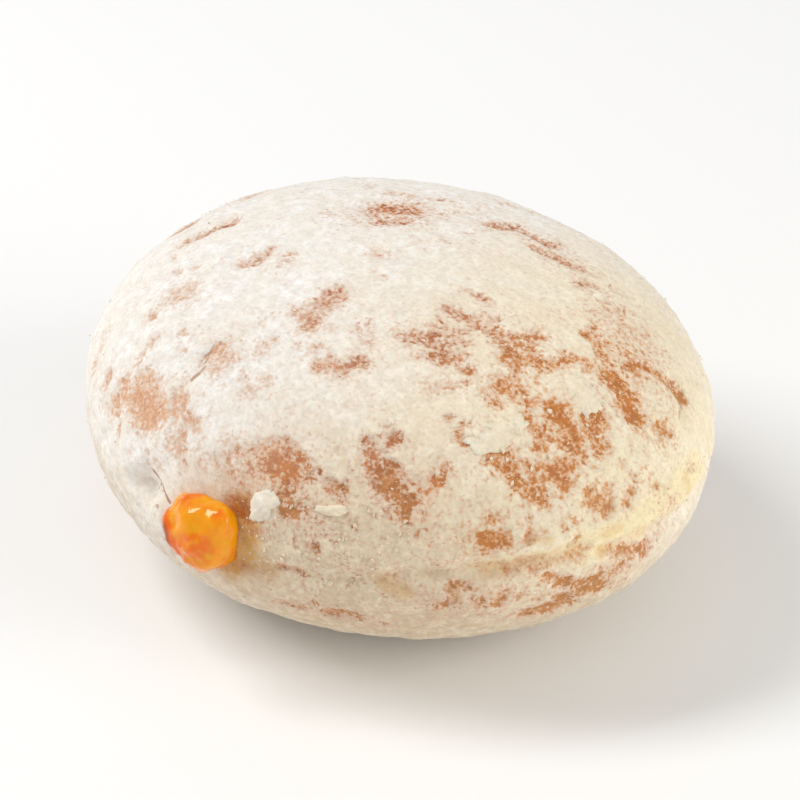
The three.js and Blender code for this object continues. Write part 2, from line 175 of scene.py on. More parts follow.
    (0.8, 2.2, (-8, 46.8), (-6.5, 44.5)), (0.9, 2.2, (-7.5, 42.5), (-8.8, 40.6), (-9.8, 39.2)),
    (0.8, 1.4, (-10.3, 43)), (0.85, 3.0, (-5, 43.5), (-4.5, 41)),
    (0.9, 1.6, (1.8, 42.8), (3, 42), (4.3, 40)), (0.75, 2.5, (-2.5, 42.5), (0.5, 41)),
    (0.85, 2.0, (-8.5, 37.5), (-6, 36.6), (-4, 36.2)), (0.7, 1.4, (-1, 38.5)), (0.6, 1.2, (-3.7, 38)),
    (0.85, 1.4, (-10.5, 36), (-12.3, 34.6)), (0.7, 2.4, (-3, 35), (0, 34.6)), (0.6, 1.3, (-7.6, 33)),
    (0.75, 1.3, (-24.5, 39.2), (-23.3, 38.3)), (0.7, 1.2, (-25.2, 36.3)), (0.7, 1.3, (-28.7, 35.6)),
    (0.6, 1.3, (-21.5, 37), (-21.2, 35.8)), (0.65, 1.3, (-21.4, 33.3)), (0.55, 2.0, (-34, 36), (-32, 36)),
    (0.95, 2.6, (-15.8, 34.4), (-16.5, 33), (-14.5, 32.4)), (0.8, 1.8, (-13, 31.9)),
    (0.8, 1.8, (-20, 31.5), (-19.5, 30.9)), (0.8, 1.8, (-13.3, 29.8), (-12.3, 28.8)),
    (0.5, 0.9, (-21.7, 28.9)),
    # the big patch towards the right end
    (0.95, 2.0, (-14.8, 26.6), (-14.3, 25), (-14, 23.3), (-15, 21)), (0.8, 2.0, (-12, 24), (-11.4, 22.4)),
    (1.0, 3.0, (-8.5, 26.2), (-6.8, 25.3), (-7.5, 23.5), (-7.6, 21), (-8.3, 19.8)),
    (0.8, 1.6, (-7.4, 18.5), (-7, 17)), (0.8, 1.6, (-5.4, 21.3)), (1.0, 2.4, (0, 22.8), (0.2, 21.3)),
    (0.95, 2.4, (-1.5, 22.5), (-2.6, 21.2), (-3, 19.5), (-2.7, 17.8)), (0.8, 1.4, (-18.4, 19.3)),
    (0.6, 0.9, (-19, 21.6)), (0.9, 2.6, (-17.2, 16.8), (-13.8, 17.3), (-10.5, 17)),
    (0.95, 2.4, (-13.2, 15.7), (-12.5, 14.3)), (0.95, 2.4, (-19, 15), (-18, 13.8), (-17, 13)),
    (0.8, 1.2, (-16.6, 11.6)), (0.85, 1.6, (-8.3, 12), (-8.6, 10.8)), (0.75, 1.2, (-10, 10.6)),
    (0.9, 1.8, (-8.5, 9.8), (-6.5, 9.6), (-5.2, 9.2)), (0.85, 1.5, (-5.2, 8.4), (-6.4, 7.9)),
    (0.8, 1.5, (-4.8, 11.3), (-4.8, 9.8)), (0.8, 1.6, (-1, 9.2), (-1.4, 8)), (0.6, 0.9, (-5.5, 15)),
    # between the big patch and the right end
    (0.5, 1.6, (-0.3, 13.8), (0, 12.8)), (0.45, 1.4, (0.8, 12), (1, 11)), (0.4, 1.6, (3.2, 15.6)),
    (0.55, 0.9, (6.4, 13)), (0.45, 1.4, (8, 15)), (0.4, 1.0, (5, 10.5)), (0.4, 1.0, (4, 12.3)),
    (0.7, 1.1, (5.1, 8)), (0.75, 2.4, (12.2, 15), (13.6, 14)), (0.5, 0.9, (17.4, 5.2), (16.2, 5.6)),
    (0.4, 1.4, (12, -0.5)),
    # the right end
    (1.0, 3.0, (10.6, 26.8), (10.8, 25), (10.2, 22.8), (8.8, 21.3), (8.5, 19.5)),
    (0.6, 3.0, (13.5, 25), (14.5, 24)), (0.6, 1.6, (6, 22.7)), (0.9, 1.5, (16.6, 35.2), (16, 33.8)),
    (0.8, 1.6, (22.8, 35.8), (21, 35)), (0.75, 2.4, (18.5, 33.5), (15.3, 32), (13.5, 30.5)),
    (0.7, 1.8, (18.5, 31), (18.8, 32)), (0.6, 1.0, (19, 28.3)),
    (0.95, 2.0, (17.5, 25.6), (20, 24.6), (22, 23)),
    (0.85, 1.8, (22, 22.5), (23, 20.5), (23.5, 18.5), (23.5, 16.5)),
    (1.0, 1.4, (24.5, 15.6), (23.5, 14.8)), (0.85, 1.6, (1.5, 34), (4, 33.8), (7.5, 33.4), (8.2, 32)),
    (0.7, 1.2, (8, 30.3), (5.3, 30)), (0.7, 1.2, (5, 35.4)), (0.5, 2.4, (31, 31.5), (30, 30)),
    (0.6, 2.0, (28, 28), (27.5, 26.8)), (0.45, 2.0, (31.2, 25.6)),
    (0.5, 8.0, (31, 31), (27, 27), (22, 27)), (0.9, 1.8, (85, 53), (81, 51)), (0.4, 1.0, (78, 49.5)),
    (0.7, 1.8, (81, 48.5), (72, 46.5), (64, 43)), (0.7, 1.8, (62, 50), (57, 46.5), (53, 43.5), (50, 41)),
    (0.55, 1.6, (38.5, 40.7), (41.6, 38.2), (41, 36.5)), (0.5, 1.6, (44, 34), (44.5, 31.4)),
    (0.5, 1.3, (49.5, 38)),
    # the waist
    (0.95, 2.2, (-29, 8.2), (-27.3, 7.9), (-25.7, 7.7)), (1.0, 1.0, (-29.5, 8.3)),
    (0.6, 1.8, (-27.5, 11.7), (-26.5, 11.3)), (0.6, 1.2, (-20.8, 12.7)), (0.7, 1.3, (-21.2, 10.6)),
    (0.75, 1.3, (-21.6, 8.4), (-21.9, 7.3)), (0.45, 1.4, (-20, 8), (-18.8, 8.2)),
    (0.8, 1.4, (-13.3, 9.2), (-12.9, 8.5)), (0.6, 0.9, (-15.6, 8.6), (-15.1, 7.4)),
    (0.5, 1.5, (-25, 2.3), (-22, 2.7), (-19, 2.4), (-15, 2.3), (-12.6, 2.8), (-11.4, 3.3)),
    (0.7, 0.9, (-13.4, 4.6), (-12.9, 5.4)), (0.6, 1.2, (-21.2, 1.2)),
    # below the seam, towards the left
    (0.7, 0.9, (-65.5, 0), (-61, -0.5)), (0.4, 1.4, (-74, -3)), (0.6, 1.1, (-66, -9), (-62, -9)),
    (0.6, 1.2, (-59, -7)), (0.85, 1.5, (-56, -9.5), (-51, -9)), (0.75, 1.1, (-46, -11.5)),
    # below the seam, in the middle
    (0.7, 1.4, (-35, 0.2), (-33, -0.1), (-31.6, -0.8)), (0.6, 1.8, (-35.6, -3.6), (-34.8, -2.8)),
    (0.7, 1.4, (-30, -3.6)), (0.65, 1.8, (-26.4, -3.8), (-25.8, -2.6)),
    (0.6, 1.2, (-23.6, -4), (-22.6, -3)), (0.9, 1.4, (-18.3, -0.4), (-17, -1)),
    (0.9, 1.6, (-15.8, -2.6), (-14.6, -2.8)), (0.9, 1.6, (-20.8, -8.7), (-18.5, -8.3)),
    (1.0, 2.2, (-17.3, -8.9), (-15.5, -8.3), (-14, -7.6)), (0.6, 1.2, (-19.8, -5.2)),
    (0.9, 1.4, (-16, -6), (-14, -6.5)), (0.8, 1.4, (-12.2, -4.3)),
    (0.85, 1.5, (-11.5, -3.8), (-10.8, -4.6)), (1.0, 2.4, (-10.5, -5.8), (-8, -6)),
    (0.9, 1.4, (-14, -8.6), (-12, -9)),
    # below the seam, towards the right
    (0.6, 1.4, (-8, -1.6)), (0.85, 1.6, (-9.6, -3.4), (-8, -3.2)), (0.6, 1.4, (-6.3, 0.8)),
    (0.75, 2.2, (-4.5, -0.6), (-2, -0.8)), (0.85, 1.8, (-2, -1.2), (0, -1.6)),
    (0.95, 1.8, (1, -2), (2.5, -2.6), (2.6, -3.6)), (0.8, 1.2, (-2, -3)),
    (0.75, 2.0, (-5.5, -4), (-4, -3)), (0.7, 1.1, (-5.6, -5)), (0.7, 1.2, (-2, -5)),
    (0.5, 1.0, (-2.5, -7.5)), (0.7, 1.0, (6, -1)), (0.6, 1.4, (5, -2)), (0.3, 5.0, (5, -1), (8, 2)),
]
# Broad places where the coat is thin and the crust tints it.
thin_strokes = [
    (0.3, 18, (60, 10), (110, 20), (160, 8)), (0.07, 16, (-108, 10), (-92, 14), (-80, 14)),
    (0.10, 16, (-100, 34), (-78, 36)), (0.22, 14, (-60, 12), (-46, 20)),
    (0.18, 18, (-34, 40), (-8, 42), (16, 36)), (0.28, 14, (0, 30), (14, 20), (6, 10)),
    (0.22, 12, (-24, 14), (-10, 12)), (0.42, 9, (-30, -5), (-14, -5), (-4, -4)),
    (0.44, 12, (-66, -6), (-40, -7)), (0.62, 20, (-60, 4), (-48, 5), (-40, 6)),
    (0.5, 12, (-58, -3), (-40, -3), (-28, -1)), (0.30, 10, (100, 50), (70, 46), (50, 40)),
]
# The waist where the fat turned the dough yellow.
yellow_strokes = [
    (1.0, 6, (-12, 3.5), (-2, 3.5), (8, 4.5), (18, 5)), (0.8, 3, (-30, 3.5), (-20, 3.6), (-12, 2)),
    (0.9, 3, (-47, 1), (-42.5, -1.5)), (0.9, 3, (-7, 4.5), (-5, 4.6)), (0.8, 2.5, (0, 2.5)),
    (0.6, 16, (-6, 8), (8, 10), (26, 10)), (0.36, 44, (0, 20), (24, 20)),
    (0.45, 7, (40, 4), (80, 2), (120, 1), (160, 3)), (0.35, 7, (-170, 3), (-144, 2)),
    (0.5, 22, (-10, -5), (-40, -5), (-58, -6)), (0.42, 24, (-56, 3), (-36, 4), (-20, 8)),
    (0.4, 8, (-24, -1), (-8, -2)),
]
# Crust that stayed pale under a film of fine sugar.
filmed_strokes = [
    (1.0, 26, (-128, 24), (-108, 18), (-96, 18)), (0.6, 20, (-100, 34), (-84, 38)),
]
# Where handling and warmth dulled the sugar from white to cream.
cream_strokes = [
    (1.0, 34, (-38, 18), (-30, 18), (-10, 22)), (0.9, 40, (0, 40), (26, 30)),
    (0.6, 20, (-64, 8), (-50, 4)),
]
# Where the sugar is dull and tan from the crust under it, and where it is darkened on the lower front as
# painted shade.
tan_and_shade_strokes = [
    (0.34, 24, (-62, 5), (-52, 6), (-44, 7)), (0.22, 16, (-56, -5), (-40, -6)),
]
# Crust that browned to orange rather than to a rosy brown.
golden_strokes = [
    (1.0, 26, (-14, 18), (10, 24)), (0.9, 9, (-28, 8)), (0.7, 7, (-69, 17)),
    (0.8, 9, (-112, 17), (-104, 15)), (0.5, 8, (135, 63)),
]
# Cracks in the coat.
crack_strokes = [
    (1.0, 0.6, (-98.4, 7), (-96.5, 5), (-94, 3.8), (-92, 2.8)),
    (0.8, 0.9, (-98.7, 30), (-98.9, 28), (-99.1, 26.4)),
    (0.7, 0.8, (27.5, 16.6), (26, 15.8), (24, 15.2), (22.4, 14.4), (20, 13.2)),
    (0.5, 0.5, (-43.5, 2.3), (-41, 2.2)), (0.45, 0.5, (-39, 2.4), (-34.7, 2.4)),
    (0.55, 0.5, (-33.6, 2.8), (-30.4, 2.9), (-27.4, 2.5)),
]
# Where jelly or fat soaked into the coat and left a golden-brown stain. The same brown along the seam's
# creases is painted shade.
stain_and_crease_shade_strokes = [
    (1.0, 4.5, (-74, 9), (-72.5, 5), (-73, 0), (-77, -3.5)), (0.6, 3.0, (-71, 0), (-68, -1)),
    (0.35, 2.4, (-46, 0.6), (-43, -1.2)), (0.3, 2.0, (-28, 2), (-22, 2.6), (-18, 3)),
    (0.3, 1.4, (-16.5, 4), (-16.5, 2)), (0.35, 1.2, (-14.5, 3), (-12.5, 3.4)),
    (0.4, 1.4, (-7.5, 4.6), (-5, 4.8)), (0.45, 1.2, (-8, 1.2), (-6.5, 1)),
    (0.5, 1.2, (-4.5, -0.6), (-2.5, -1)), (0.35, 1.6, (0, 2.6), (0.6, 1.6)),
    (0.45, 1.2, (-21.5, 7.5), (-18, 6.4)), (0.4, 1.2, (-5, 8.4), (-6.6, 8)),
    (0.45, 1.2, (-34.5, -0.4), (-33.5, -2.6)), (0.3, 1.4, (14, 5), (14, 3)), (0.35, 1.4, (5.5, 8.2)),
    (0.5, 13, (-80, 2)),
]
# Folds and ridges: how high or deep, how wide, and the places each runs through.
relief_strokes = [
    (-1.1, 2.4, (-101, 3.4), (-98, 1.8)), (-0.6, 1.2, (-98.4, 7), (-96.5, 5), (-94, 3.8), (-92, 2.8)),
    (0.7, 1.6, (-97, 1.4), (-95, 1), (-93, 0)), (0.4, 1.8, (-101.5, 7), (-99.6, 5.6)),
    (0.30, 1.6, (-21, 4.6), (-15, 2.6), (-11, 1.4)),
    (0.5, 1.5, (-9, 3.2), (-4, 2.6), (1, 3), (6, 4.4), (10, 7)),
    (-0.3, 1.0, (-8, 1.6), (-4, 1.1), (0, 1.3), (5, 3), (9, 5)),
    (-0.30, 1.1, (-28, 2.5), (-21, 3.2), (-16, 3.6), (-12.5, 5)),
    (-0.45, 1.0, (-7, -1.2), (-3, -1.2), (0, -1.2), (3, -1.5), (6, 0.6)),
    (-0.45, 0.8, (-43.5, 2.3), (-39, 2.2), (-34, 2.5), (-30, 3.2), (-26, 3)),
    (-0.35, 1.0, (-104.5, 33.5), (-98.8, 28)), (-0.45, 1.0, (25.5, 18.5), (23.5, 16), (20, 13)),
]

# The back and the underside are rubbed too: how many strokes, and how far they stay from
# the front in degrees. Then the least and the most of their height as a share of the ball,
# and of their strength, width, run and climb.
hidden_strokes, hidden_seed = 110, 5
front_azimuth, front_elevation, front_reach = -44, 32, 104
hidden_height, hidden_strength, hidden_width = (-0.95, 0.9), (0.4, 1.0), (1.2, 5.0)
hidden_run, hidden_climb = (-6, 6), (-5, 5)
# A stroke is full in its middle and fades across its edge. Then come how strong the faint
# skirt round a rubbed patch is, and its reach in half widths of the stroke.
stroke_peak, stroke_fade = 1.5, 0.9
patch_skirt, skirt_reach = 0.36, 2.3
# The edges of strokes wander in long bends and short ones: how long, how far, and their seeds.
edge_bends = [(3.2, 0.7, (1, 2, 3)), (1.2, 0.35, (4, 5, 6))]
# Folds take this much of the bends, and are this much narrower than their stroke.
relief_wander, relief_sharpness = 0.15, 1.6
# The strokes of each field, and how much of the bends their edges take.
painted_fields = {
    "thinness": (thin_strokes, 1),
    "yellowness": (yellow_strokes, 0.6),
    "goldenness": (golden_strokes, 1),
    "creaminess": (cream_strokes, 2),
    "tan_and_shade": (tan_and_shade_strokes, 2),
    "filmed": (filmed_strokes, 2),
    "stain_and_crease_shade": (stain_and_crease_shade_strokes, 0.4),
    "cracks": (crack_strokes, 0.45),
}
# The coat's clumps and its smears, which lie level: how long they are and how far they stand.
clump_length, crust_unevenness, clump_stand = 2.6, 0.08, 0.13
smear_length, smear_flatness, smear_stand = 5.0, 2.2, 0.14
# How bare the skin is where the coat's edge starts and ends, and how much clumps move it.
coat_ends, coat_gone, coat_raggedness = 0.30, 0.75, 0.15
# The skin is cut from a cube of squares blown up to a ball: how many along an edge.
squares_along = 128


def way_of(azimuth, elevation):
    """The unit vectors that point at places on the skin."""
    azimuth, elevation = np.radians(azimuth), np.radians(elevation)
    flat = np.cos(elevation)
    return np.stack([np.cos(azimuth) * flat, np.sin(azimuth) * flat, np.sin(elevation)], -1)


def bell(distance, spread):
    """1 in the middle, and fading out on both sides."""
    return np.exp(-((distance / spread) ** 2))


def ramp(value, low, high):
    """0 below low and 1 above high, with a smooth rise between."""
    share = np.clip((value - low) / (high - low), 0, 1)
    return share * share * (3 - 2 * share)


def cushion_radius(way):
    """The plain cushion: an oval seen from above, with a fuller crown than belly."""
    height = np.where(way[..., 2] > 0, crown_height, belly_depth)
    plan = (
        np.abs(2 * way[..., 0] / dough_length) ** plan_power
        + np.abs(2 * way[..., 1] / dough_width) ** plan_power
    )
    side = np.abs(way[..., 2] / height) ** side_power
    return (plan ** (side_power / plan_power) + side) ** (-1 / side_power)


def seam_elevation(azimuth):
    """The seam isn't level: it rises and falls on its way round."""
    waves = [rise * np.cos(np.radians(turns * (azimuth - crest))) for turns, rise, crest in seam_waves]
    return seam_mean + sum(waves)


def skin_radius(way):
    """The skin with its swells, dimples, seam and puckers, but without its sugar."""
    azimuth = np.degrees(np.arctan2(way[..., 1], way[..., 0]))
    elevation = np.degrees(np.arcsin(np.clip(way[..., 2], -1, 1)))
    radius = cushion_radius(way)
    above = np.radians(elevation - seam_elevation(azimuth)) * radius
    strength = 0.5 + 0.5 * np.cos(np.radians(azimuth - seam_strong_at))
    depth = seam_faint_depth + (seam_depth - seam_faint_depth) * strength
    groove = depth * bell(above, seam_half_width)
    lip = lip_rise * strength**2 * bell(above - lip_above_seam, lip_half_width)
    # The dimples are crossed waves, coarse and fine, whose lengths don't match.
    x, y, z = way[..., 0], way[..., 1], way[..., 2]
    dimples = np.sin(9 * x + 2) * np.sin(8 * y + 1) * np.sin(10 * z)
    dimples = dimples + np.sin(15 * x - 1) * np.cos(13 * y + 2) * np.cos(12 * z + 1)
    radius = radius + lip - groove + dimple_depth * dimples
    for swell_azimuth, swell_elevation, spread, rise in swells + puckers:
        near = np.clip(way @ way_of(swell_azimuth, swell_elevation), -1, 1)
        radius = radius + rise * bell(np.degrees(np.arccos(near)), spread)
    return radius


def skin_place(azimuth, elevation):
    """Points of the skin in millimetres from the middle of the dough."""
    way = way_of(azimuth, elevation)
    return way * skin_radius(way)[..., None]


def distance_to(points, stroke):
    """How far points are from a stroke's line, in millimetres."""
    ends = [skin_place(*place) for place in stroke]
    if len(ends) == 1:
        return np.linalg.norm(points - ends[0], axis=1)
    nearest = np.full(len(points), np.inf)
    for start, end in zip(ends, ends[1:]):
        along = end - start
        share = np.clip((points - start) @ along / (along @ along), 0, 1)
        nearest = np.minimum(nearest, np.linalg.norm(points - start - share[:, None] * along, axis=1))
    return nearest


def painted(points, strokes, skirt=0.0):
    """Each stroke is full in its middle, fainter at its edge, and fades out in a skirt."""
    field = np.zeros(len(points))
    for strength, width, *stroke in strokes:
        edge = distance_to(points, stroke) / (width / 2)
        full = np.clip(stroke_peak - stroke_fade * edge, 0, 1)
        field = np.maximum(field, strength * ((1 - skirt) * full + skirt * bell(edge, skirt_reach)))
    return field


def noise_at(points, size, seed, octaves=1):
    """Smooth noise from -1 to 1 with lumps about size millimetres across, moved by the seed."""
    shift = Vector((seed * 17.1, seed * -9.7, seed * 5.3))
    if octaves == 1:
        return np.array([noise.noise(Vector(p) / size + shift) for p in points])
    return np.array([noise.fractal(Vector(p) / size + shift, 1.0, 2.0, octaves) for p in points])


def ball_of_squares():
    """A unit ball as a cube of squares, with shared corners and nearly even spacing."""
    ball = bmesh.new()
    bmesh.ops.create_cube(ball, size=2)
    bmesh.ops.subdivide_edges(ball, edges=ball.edges[:], cuts=squares_along - 1, use_grid_fill=True)
    for corner in ball.verts:
        spread = Vector(math.tan(side * math.pi / 4) for side in corner.co)
        corner.co = spread.normalized()
    return ball


def hidden_side_strokes(count, seed):
    """Rubbed places on the back and the underside, drawn at random."""
    draw = random.Random(seed)
    front = way_of(front_azimuth, front_elevation)
    strokes = []
    while len(strokes) < count:
        azimuth = draw.uniform(-180, 180)
        elevation = math.degrees(math.asin(draw.uniform(*hidden_height)))
        strength, width = draw.uniform(*hidden_strength), draw.uniform(*hidden_width)
        run, climb = draw.uniform(*hidden_run), draw.uniform(*hidden_climb)
        if way_of(azimuth, elevation) @ front > math.cos(math.radians(front_reach)):
            continue
        strokes.append((strength, width, (azimuth, elevation), (azimuth + run, elevation + climb)))
    return strokes


def smooth_mesh(name, made):
    """Keeps what bmesh made as a mesh that is shaded smooth."""
    mesh = bpy.data.meshes.new(name)
    made.to_mesh(mesh)
    made.free()
    mesh.polygons.foreach_set("use_smooth", [True] * len(mesh.polygons))
    return mesh


def give_field(mesh, name, values):
    """Stores a number for each corner, which the material reads by name."""
    mesh.attributes.new(name, "FLOAT", "POINT").data.foreach_set("value", values.astype(np.float32))


dough_mesh = smooth_mesh("dough_sugared", ball_of_squares())
corners = np.zeros(len(dough_mesh.vertices) * 3)
dough_mesh.vertices.foreach_get("co", corners)
half_sizes = [dough_length / 2, dough_width / 2, (crown_height + belly_depth) / 2]
stretched = corners.reshape(-1, 3) * half_sizes
ways = stretched / np.linalg.norm(stretched, axis=1)[:, None]
bare_skin = ways * skin_radius(ways)[:, None]

wander = sum(
    reach * np.stack([noise_at(bare_skin, length, seed) for seed in seeds], 1)
    for length, reach, seeds in edge_bends
)
wandered = bare_skin + wander
fields = {
    name: painted(bare_skin + wander * share, strokes)
    for name, (strokes, share) in painted_fields.items()
}
all_rubbed = rubbed_strokes + hidden_side_strokes(hidden_strokes, hidden_seed)
bareness = painted(wandered, all_rubbed, patch_skirt)
lumps = noise_at(bare_skin, clump_length, seed=7, octaves=3)
smears = noise_at(bare_skin * [1.0, 1.0, smear_flatness], smear_length, seed=9, octaves=2)

azimuths = np.degrees(np.arctan2(ways[:, 1], ways[:, 0]))
elevations = np.degrees(np.arcsin(ways[:, 2]))
radii = np.linalg.norm(bare_skin, axis=1)
fields["bareness"] = bareness
fields["above_seam"] = np.radians(elevations - seam_elevation(azimuths)) * radii

# The coat ends in a low step where it is rubbed off, and clumps most where it is whole.
covered = 1 - ramp(bareness + coat_raggedness * lumps, coat_ends, coat_gone)
clumpiness = crust_unevenness + clump_stand * covered
radii = radii + coat_thickness * (covered - 1) + clumpiness * lumps + smear_stand * covered * smears
for height, width, *stroke in relief_strokes:
    away = distance_to(bare_skin + wander * relief_wander, stroke)
    radii = radii + height * bell(away, width / relief_sharpness)
# The filling hole goes straight in, and the foot is flat.
hole_way = way_of(hole_azimuth, hole_elevation)
from_hole = np.linalg.norm(bare_skin - hole_way * (bare_skin @ hole_way)[:, None], axis=1)
in_hole = (1 - ramp(from_hole, hole_radius - hole_bevel, hole_radius)) * (bare_skin @ hole_way > 0)
radii = radii - (hole_depth + 1) * in_hole
placed = ways * radii[:, None]
placed[:, 2] = np.maximum(placed[:, 2], -foot_depth)
dough_mesh.vertices.foreach_set("co", (placed * mm + np.array(dough_middle)).ravel())
for name, values in fields.items():
    give_field(dough_mesh, name, values)


def new_object(name, data):
    """An object in the scene that shows a mesh, a light or a camera."""
    made = bpy.data.objects.new(name, data)
    bpy.context.scene.collection.objects.link(made)
    return made


def feed(node, inputs):
    """Gives each named input of a node a plain value, or the output of another node."""
    for name, value in inputs.items():
        if isinstance(value, bpy.types.NodeSocket):
            node.id_data.links.new(value, node.inputs[name])
        else:
            node.inputs[name].default_value = value


def new_material(name, finish):
    """A material, its node tree and its shader, with the finish that is the same all over."""
    material = bpy.data.materials.new(name)
    material.use_nodes = True
    shader = material.node_tree.nodes["Principled BSDF"]
    feed(shader, finish)
    return material, material.node_tree, shader


def add(tree, kind, inputs=None, **settings):
    """A new shader node with its settings and its inputs."""
    made = tree.nodes.new("ShaderNode" + kind)
    for name, value in settings.items():
        setattr(made, name, value)
    feed(made, inputs or {})
    return made


def maths(tree, operation, first, second=0.0, third=0.0, clamp=False):
    """One sum. MULTIPLY_ADD gives first times second, plus third."""
    inputs = {0: first, 1: second, 2: third}
    return add(tree, "Math", inputs, operation=operation, use_clamp=clamp).outputs[0]


def rise(tree, value, low, high):
    """0 below low and 1 above high, with a smooth rise between."""
    inputs = {"Value": value, "From Min": low, "From Max": high}
    return add(tree, "MapRange", inputs, interpolation_type="SMOOTHSTEP").outputs[0]


def blend(tree, share, first, second, how="MIX"):
    """The first colour where the share is 0, and the second where it is 1."""
    inputs = {0: share, 6: first, 7: second}
    return add(tree, "Mix", inputs, data_type="RGBA", blend_type=how).outputs[2]


def scaled(tree, color, factor):
    """A colour or a place, times a number."""
    return add(tree, "VectorMath", {0: color, "Scale": factor}, operation="SCALE").outputs[0]


def field(tree, name):
    """Reads what give_field stored."""
    return add(tree, "Attribute", attribute_name=name).outputs["Fac"]


def cloud(tree, place, size, detail=2.0, roughness=0.5):
    """Noise whose lumps are about size millimetres across."""
    inputs = {"Vector": place, "Scale": 1 / (size * mm), "Detail": detail, "Roughness": roughness}
    return add(tree, "TexNoise", inputs).outputs["Fac"]


def grain_cells(tree, place, size):
    """Ragged cells about size millimetres across, each with its own value from 0 to 1."""
    jitter = add(tree, "TexNoise", {"Vector": place, "Scale": 1 / (size * 0.7 * mm)}).outputs["Color"]
    moved = add(tree, "VectorMath", {0: jitter, 1: (0.5, 0.5, 0.5)}, operation="SUBTRACT").outputs[0]
    moved = scaled(tree, moved, size * 0.6 * mm)
    moved = add(tree, "VectorMath", {0: place, 1: moved}, operation="ADD").outputs[0]
    cells = add(tree, "TexVoronoi", {"Vector": moved, "Scale": 1 / (size * mm)}, feature="F1")
    return add(tree, "SeparateColor", {0: cells.outputs["Color"]}).outputs[0]


def object_place(tree):
    """The place on the object, in metres."""
    return add(tree, "TexCoord").outputs["Object"]


def bumped(tree, height, strength, reach):
    """The normals of a rough surface whose relief reaches so many millimetres."""
    inputs = {"Height": height, "Strength": strength, "Distance": reach * mm}
    return add(tree, "Bump", inputs).outputs["Normal"]


# The powder's grain: the size in millimetres of its grit, its fine lumps, clumps and drifts.
grit_size, fine_size, clump_size, drift_size = 0.45, 0.6, 1.6, 6.5
# Its colours: between clumps, darker there as painted shade, on clumps, and where it lies warm in drifts.
hollow_shaded_white, clump_white = (0.84, 0.79, 0.725, 1), (0.945, 0.925, 0.89, 1)
drift_warm = (0.85, 0.765, 0.645, 1)
# Handled sugar is multiplied by the cream. The others are what it turns to; the tan also stands in as
# painted shade.
cream_tint, fat_yellow = (0.93, 0.88, 0.785, 1), (0.90, 0.77, 0.45, 1)
tan_and_shade_sugar, crust_through_sugar = (0.60, 0.455, 0.29, 1), (0.71, 0.52, 0.40, 1)
drift_strength, grit_shade, fine_shade = 0.42, 0.10, 0.16


def new_group(name, inputs, outputs):
    """A node group with its sockets, its input node and its output node."""
    group = bpy.data.node_groups.new(name, "ShaderNodeTree")
    for way, sockets in (("INPUT", inputs), ("OUTPUT", outputs)):
        for socket, kind in sockets.items():
            group.interface.new_socket(socket, in_out=way, socket_type="NodeSocket" + kind)
    return group, group.nodes.new("NodeGroupInput"), group.nodes.new("NodeGroupOutput")


def powder_group():
    """Powdered sugar: its colour, from white to cream, yellow, tan with painted shade, or crust, and its
    grain.
    """
    group, given, made = new_group(
        "powdered_sugar",
        {"Thinness": "Float", "Creaminess": "Float", "Yellowness": "Float", "TanAndShade": "Float"},
        {"Color": "Color", "Height": "Float"},
    )
    place = object_place(group)
    grit = grain_cells(group, place, grit_size)
    fine = cloud(group, place, fine_size, 3, 0.6)
    clumps = cloud(group, place, clump_size, 3, 0.55)
    drifts = cloud(group, place, drift_size, 3, 0.55)
    # Painted shade: the sugar is darker in the hollows between the clumps.
    heaped = blend(group, rise(group, clumps, 0.35, 0.68), hollow_shaded_white, clump_white)
    in_drift = maths(group, "MULTIPLY", rise(group, drifts, 0.38, 0.62), drift_strength)
    warm = blend(group, in_drift, heaped, drift_warm)
    cream = blend(group, given.outputs["Creaminess"], warm, cream_tint, "MULTIPLY")
    yellow = blend(group, given.outputs["Yellowness"], cream, fat_yellow)
    # The tan, which is partly painted shade, shows most in the hollows between the clumps.
    tan = maths(group, "MULTIPLY_ADD", rise(group, clumps, 0.35, 0.65), -0.6, 1.3)
    tan = maths(group, "MULTIPLY", tan, given.outputs["TanAndShade"], clamp=True)
    tan_and_shade = blend(group, tan, yellow, tan_and_shade_sugar)
    tinted = blend(group, given.outputs["Thinness"], tan_and_shade, crust_through_sugar)
    shade = maths(group, "MULTIPLY_ADD", maths(group, "SUBTRACT", grit, 0.5), grit_shade, 1.0)
    shade = maths(group, "MULTIPLY_ADD", maths(group, "SUBTRACT", fine, 0.5), fine_shade, shade)
    height = maths(group, "MULTIPLY_ADD", grit, 0.35, maths(group, "MULTIPLY_ADD", fine, 0.6, clumps))
    feed(made, {"Color": scaled(group, tinted, shade), "Height": height})
    return group


powder = powder_group()

# The crust's colours, darker and lighter: rosy brown, and golden where the fat was hotter.
rosy_crust = (0.37, 0.11, 0.038, 1), (0.53, 0.19, 0.075, 1)
golden_crust = (0.41, 0.082, 0.011, 1), (0.55, 0.15, 0.018, 1)
waist_crust, filmed_crust = (0.58, 0.32, 0.08, 1), (0.80, 0.52, 0.34, 1)
# Sugar on the crust: as a last dust over either brown, and as grains caught in its pores.
rosy_dust, golden_dust = (0.62, 0.36, 0.24, 1), (0.72, 0.33, 0.105, 1)
caught_grains = (0.84, 0.60, 0.42, 1)
stain_and_shade_color, crack_color = (0.78, 0.52, 0.20, 1), (0.42, 0.20, 0.08, 1)
# Sizes in millimetres: single grains, specks, crust shades and mottle, worn places.
grain_size, speck_size, shade_size, mottle_size, worn_size = 0.38, 0.65, 2.0, 0.45, 5.0
# How much the luck of a place owes to its grain, its speck and its clot of sugar.
grain_luck, speck_luck, clot_luck = 0.34, 0.42, 0.22
# How little sugar is left: what a thin coat, a rubbed one and the underside add to the wear,
# and where crust starts to show and shows fully.
thin_share, bare_share, underside_share = 0.55, 0.78, 0.06
wear_swing, wear_least = 0.6, -0.435
crust_from, crust_full = -0.32, 0.29
